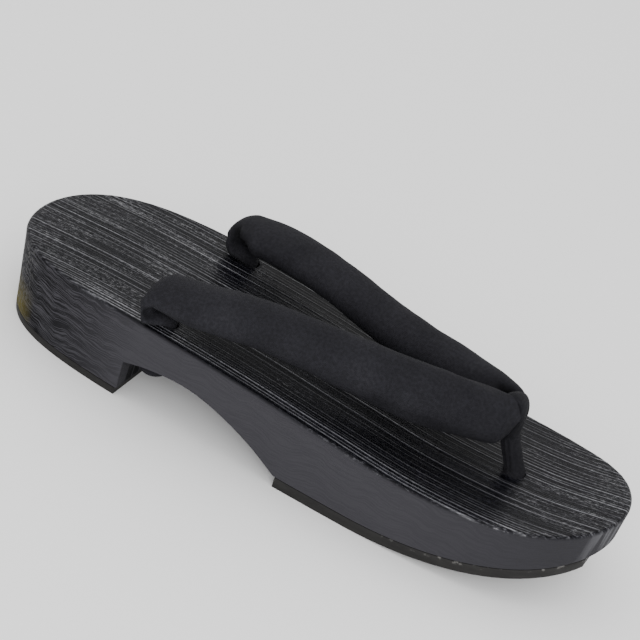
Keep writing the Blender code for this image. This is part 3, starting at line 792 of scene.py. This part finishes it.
def cloth_loft(name, rings):
    """A closed tube of cloth through rings, with a UV map in metres along and around it."""
    points = len(rings[0])
    vertices = [tuple(point) for ring in rings for point in ring]
    faces = []
    for low in range(len(rings) - 1):
        for i in range(points):
            j = (i + 1) % points
            faces.append((low * points + i, low * points + j, (low + 1) * points + j, (low + 1) * points + i))
    faces.append(tuple(range(points))[::-1])
    faces.append(tuple((len(rings) - 1) * points + i for i in range(points)))
    mesh = bpy.data.meshes.new(name)
    mesh.from_pydata(vertices, [], faces)
    along = [0.0]
    for low, high in zip(rings, rings[1:]):
        along.append(along[-1] + sum((b - a).length for a, b in zip(low, high)) / points)
    uv = mesh.uv_layers.new(name="cloth")
    for face in mesh.polygons:
        for loop in face.loop_indices:
            index = mesh.loops[loop].vertex_index
            column = index % points
            if column == 0 and len(face.vertices) == 4 and (points - 1) in [v % points for v in face.vertices]:
                column = points
            uv.data[loop].uv = (TUBE_GIRTH * column / points, along[index // points])
    cloth_piece = bpy.data.objects.new(name, mesh)
    bpy.context.scene.collection.objects.link(cloth_piece)
    bpy.ops.object.select_all(action="DESELECT")
    cloth_piece.select_set(True)
    bpy.context.view_layer.objects.active = cloth_piece
    bpy.ops.object.mode_set(mode="EDIT")
    bpy.ops.mesh.select_all(action="SELECT")
    bpy.ops.mesh.normals_make_consistent(inside=False)
    bpy.ops.object.mode_set(mode="OBJECT")
    return cloth_piece


def shape_cloth(piece, creases, lump, overall_shade):
    """Soft lumps of the filling, and the given creases: troughs, or ridges where deep is negative.

    The point attribute it stores is painted shade that darkens the cloth: evenly all over by the last
    argument, and more in the troughs of the creases, where shade falls.
    """
    ends = [(Vector(row[0:3]), Vector(row[3:6]), row[6], row[7]) for row in creases]
    moves = []
    cloth_shade = piece.data.attributes.new("cloth_shade", "FLOAT", "POINT")
    for vertex in piece.data.vertices:
        place = vertex.co * 1000
        shade_here = overall_shade
        move = lump * noise.noise(place / 11.0) + lump * 0.4 * noise.noise(place / 4.5)
        for start, end, wide, deep in ends:
            run = end - start
            share = min(max((place - start).dot(run) / run.length_squared, 0.0), 1.0)
            away = (place - start - run * share).length / wide
            if away < 3:
                move -= deep * math.exp(-away * away)
                shade_here += 0.35 * max(deep, 0.0) * math.exp(-away * away)
        cloth_shade.data[vertex.index].value = min(shade_here, 0.85)
        moves.append(move / 1000)
    normals = [vertex.normal.copy() for vertex in piece.data.vertices]
    for vertex, normal, move in zip(piece.data.vertices, normals, moves):
        if vertex.co.z > 0.030 or abs(vertex.co.y) > 0.020:
            vertex.co += normal * move


TUBE_CREASES = {
    "thong_tube_right": (
        (66.5, -42.0, 40.0, 72.0, -42.0, 40.5, 1.5, 0.9),
        (72.0, -42.0, 40.5, 86.0, -41.5, 42.5, 1.8, 0.8),
        (64.5, -41.0, 42.5, 72.0, -42.0, 44.0, 1.8, -0.7),
        (180.0, -1.0, 55.0, 186.5, -3.0, 56.0, 1.5, 1.4),
        (189.0, -6.0, 56.5, 193.4, -6.4, 50.5, 2.5, -1.9),
        (181.5, 0.5, 57.5, 187.0, 1.0, 57.5, 2.2, 2.6),
        (193.0, -7.2, 49.5, 190.6, -8.2, 41.5, 1.3, 0.6),
        (170.0, -6.0, 59.0, 184.0, -8.0, 58.0, 3.0, 0.5),
        (180.0, -15.0, 49.0, 189.0, -13.0, 46.0, 1.6, 0.35),
        (150.0, -26.0, 42.0, 172.0, -20.0, 41.5, 3.5, 0.5),
        (104.0, -33.0, 46.0, 122.0, -30.0, 50.0, 5.0, 0.4),
    ),
    "thong_tube_left": (
        (182.0, 4.8, 55.0, 189.5, 4.2, 53.5, 2.5, 3.2),
        (184.5, 5.0, 55.0, 187.0, 9.0, 53.0, 1.3, 1.0),
        (158.0, 9.0, 49.0, 182.0, 3.0, 53.0, 3.0, 0.6),
        (130.0, 15.0, 48.0, 150.0, 11.0, 47.0, 3.5, -0.4),
        (66.0, 23.0, 50.5, 78.0, 21.0, 40.5, 1.5, -1.2),
        (63.0, 24.0, 46.0, 73.0, 21.0, 39.0, 3.8, 3.6),
        (60.5, 27.0, 41.0, 62.0, 33.0, 37.0, 1.2, 0.6),
        (76.0, 21.0, 37.5, 90.0, 19.5, 39.0, 2.2, 0.7),
    ),
}

cloth, nodes, links, shader = new_material("black_cotton", 0.92)
weave_place = nodes.new("ShaderNodeUVMap")
weave_place.uv_map = "cloth"
threads = []
for axis in ("X", "Y"):
    wave = nodes.new("ShaderNodeTexWave")
    wave.bands_direction = axis
    wave.inputs["Scale"].default_value = 520.0
    wave.inputs["Distortion"].default_value = 0.6
    links.new(weave_place.outputs["UV"], wave.inputs["Vector"])
    threads.append(wave.outputs["Fac"])
weave = maths(nodes, links, "MULTIPLY", threads[0], threads[1])
fuzz = stretched_noise(nodes, links, (900.0, 900.0, 900.0), 4.0)
faded = stretched_noise(nodes, links, (45.0, 45.0, 45.0), 3.0)
tone = ramp(nodes, links, faded, (0.30, (0.0100, 0.0098, 0.0122)), (0.70, (0.0160, 0.0157, 0.0190)))
nap = ramp(nodes, links, fuzz, (0.35, 0.8), (0.70, 1.25))
# Painted shade: the cloth is darkened towards near black where the point attribute from shape_cloth says so,
# in the creases and all over the loop.
shaded_tone = mix(nodes, links, attribute(nodes, "cloth_shade"), tone, (0.0012, 0.0012, 0.0015))
links.new(mix(nodes, links, 1.0, shaded_tone, nap, "MULTIPLY"), shader.inputs["Base Color"])
relief = bump(nodes, links, weave, 0.00010, 0.6)
relief = bump(nodes, links, fuzz, 0.00012, 0.6, relief)
links.new(relief, shader.inputs["Normal"])
shader.inputs["Specular IOR Level"].default_value = 0.12

for side, name in ((-1, "thong_tube_right"), (1, "thong_tube_left")):
    tube = cloth_loft(name, tube_rings(side))
    shape_cloth(tube, TUBE_CREASES[name], 0.28, 0.0)
    for vertex in tube.data.vertices:
        vertex.co.x -= LENGTH / 2
    tube.data.shade_smooth()
    tube.data.materials.append(cloth)
    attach(tube, "root")
    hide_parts("thong_strap")

# Front loop. A folded strip of the same cotton. It comes up between the toes from a knot in the
# base, wraps the two tubes where they join, and dives down between them behind the join.
LOOP_WIDTH, LOOP_THICKNESS, LOOP_TILT = 0.0130, 0.0050, 14.0
LOOP_HEIGHT = TUBE_RISE * 1.10 + TUBE_HEIGHT * 0.45 + LOOP_THICKNESS * 0.5
FRONT_KNOT_HEIGHT, FRONT_KNOT_TOP = 0.0050, 0.0166
LOOP_SECTIONS = (
    # lean back, over, up, wide, thick, tilt
    (0.020, 0.000, 0.015, 0.64, 1.60, 0.0),
    (0.120, 0.000, 0.055, 0.60, 1.44, 0.0),
    (0.440, 0.000, 0.165, 0.56, 1.38, 0.0),
    (0.860, 0.000, 0.320, 0.58, 1.38, 0.0),
    (1.010, 0.000, 0.400, 0.60, 1.36, 0.0),
    (1.060, 0.000, 0.445, 0.62, 1.20, 0.0),
    (1.060, 0.000, 0.520, 0.72, 1.08, 0.1),
    (1.025, 0.000, 0.640, 0.88, 1.00, 0.4),
    (1.025, 0.000, 0.770, 1.02, 0.94, 0.8),
    (1.008, 0.040, 0.862, 1.12, 0.88, 1.2),
    (1.000, 0.105, 0.905, 1.16, 0.84, 1.5),
    (1.000, 0.185, 0.900, 1.06, 0.80, 1.6),
    (1.000, 0.255, 0.840, 0.76, 0.80, 1.2),
    (1.000, 0.310, 0.740, 0.34, 0.70, 0.5),
)


def loop_rings():
    rings = []
    for up, wide in KNOT_SECTIONS[::-1]:
        centre = Vector((FRONT_HOLE_X, 0.0, FRONT_KNOT_TOP - FRONT_KNOT_HEIGHT * (1 - up)))
        rings.append(section_ring(centre, FORWARD, LEFT, wide * KNOT_RADIUS, wide * KNOT_RADIUS))
    rings.append(
        section_ring(Vector((FRONT_HOLE_X, 0.0, FRONT_KNOT_TOP)), FORWARD, LEFT, CORD_RADIUS, CORD_RADIUS)
    )
    sections = smooth_rows(LOOP_SECTIONS, 8)
    centres = []
    for lean_back, over, up, *_ in sections:
        x = FRONT_HOLE_X - lean_back * JOIN_SETBACK - over * TUBE_WIDTH
        centres.append(Vector((x, 0.0, deck_z(FRONT_HOLE_X) + up * LOOP_HEIGHT)))
    for i, (row, centre) in enumerate(zip(sections, centres)):
        heading = (centres[min(i + 1, len(centres) - 1)] - centres[max(i - 1, 0)]).normalized()
        if i == 0:
            heading = UP
        tilt = math.radians(row[5] * LOOP_TILT)
        across = LEFT * math.cos(tilt) - LEFT.cross(heading) * math.sin(tilt)
        outward = across.cross(heading)
        rings.append(
            section_ring(centre, outward, across, row[4] * LOOP_THICKNESS / 2, row[3] * LOOP_WIDTH / 2)
        )
    return rings


STEM_CREASES = (
    (198.0, -3.6, 29.0, 192.5, -3.6, 40.5, 0.7, 0.45),
    (200.3, -2.6, 29.0, 194.6, -2.6, 40.5, 0.7, 0.40),
    (196.0, -3.0, 29.0, 190.6, -3.0, 40.5, 0.6, 0.50),
    (189.0, -3.8, 41.5, 196.5, -3.6, 42.0, 0.6, 0.60),
    (193.8, -3.0, 44.0, 194.8, -2.0, 54.0, 1.2, 0.25),
    (193.6, -6.0, 50.0, 192.4, -5.0, 43.0, 1.3, 0.50),
)
loop = cloth_loft("front_loop_strip", loop_rings())
# The loop gets painted shade all over, so it is darker than the tubes, with more in its creases.
shape_cloth(loop, STEM_CREASES, 0.18, 0.30)
for vertex in loop.data.vertices:
    vertex.co.x -= LENGTH / 2
loop.data.shade_smooth()
loop.data.materials.append(cloth)
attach(loop, "root")
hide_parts("front_loop")

# Floor and light. A plain pale floor, an even white studio all round, and one soft lamp that
# stands low in front of the sandal's right side.
bpy.ops.object.select_all(action="DESELECT")
bpy.ops.mesh.primitive_plane_add(size=6.0, location=(0.0, 0.0, 0.0))
floor = bpy.context.object
floor.name = "studio_floor"
paper, nodes, links, shader = new_material("pale_paper", 0.9)
shader.inputs["Base Color"].default_value = (0.95, 0.95, 0.95, 1.0)
floor.data.materials.append(paper)

world = bpy.data.worlds.new("studio")
bpy.context.scene.world = world
world.use_nodes = True
world.node_tree.nodes["Background"].inputs["Color"].default_value = (1.0, 1.0, 1.0, 1.0)
world.node_tree.nodes["Background"].inputs["Strength"].default_value = 1.42
LAMP_PLACE, LAMP_SIZE, LAMP_POWER = Vector((0.42, -1.20, 0.58)), 0.9, 12.0
bpy.ops.object.light_add(type="AREA", location=LAMP_PLACE)
lamp = bpy.context.object
lamp.name = "key"
lamp.data.size = LAMP_SIZE
lamp.data.energy = LAMP_POWER
lamp.rotation_euler = (VIEW_TARGET - LAMP_PLACE).to_track_quat("-Z", "Y").to_euler()
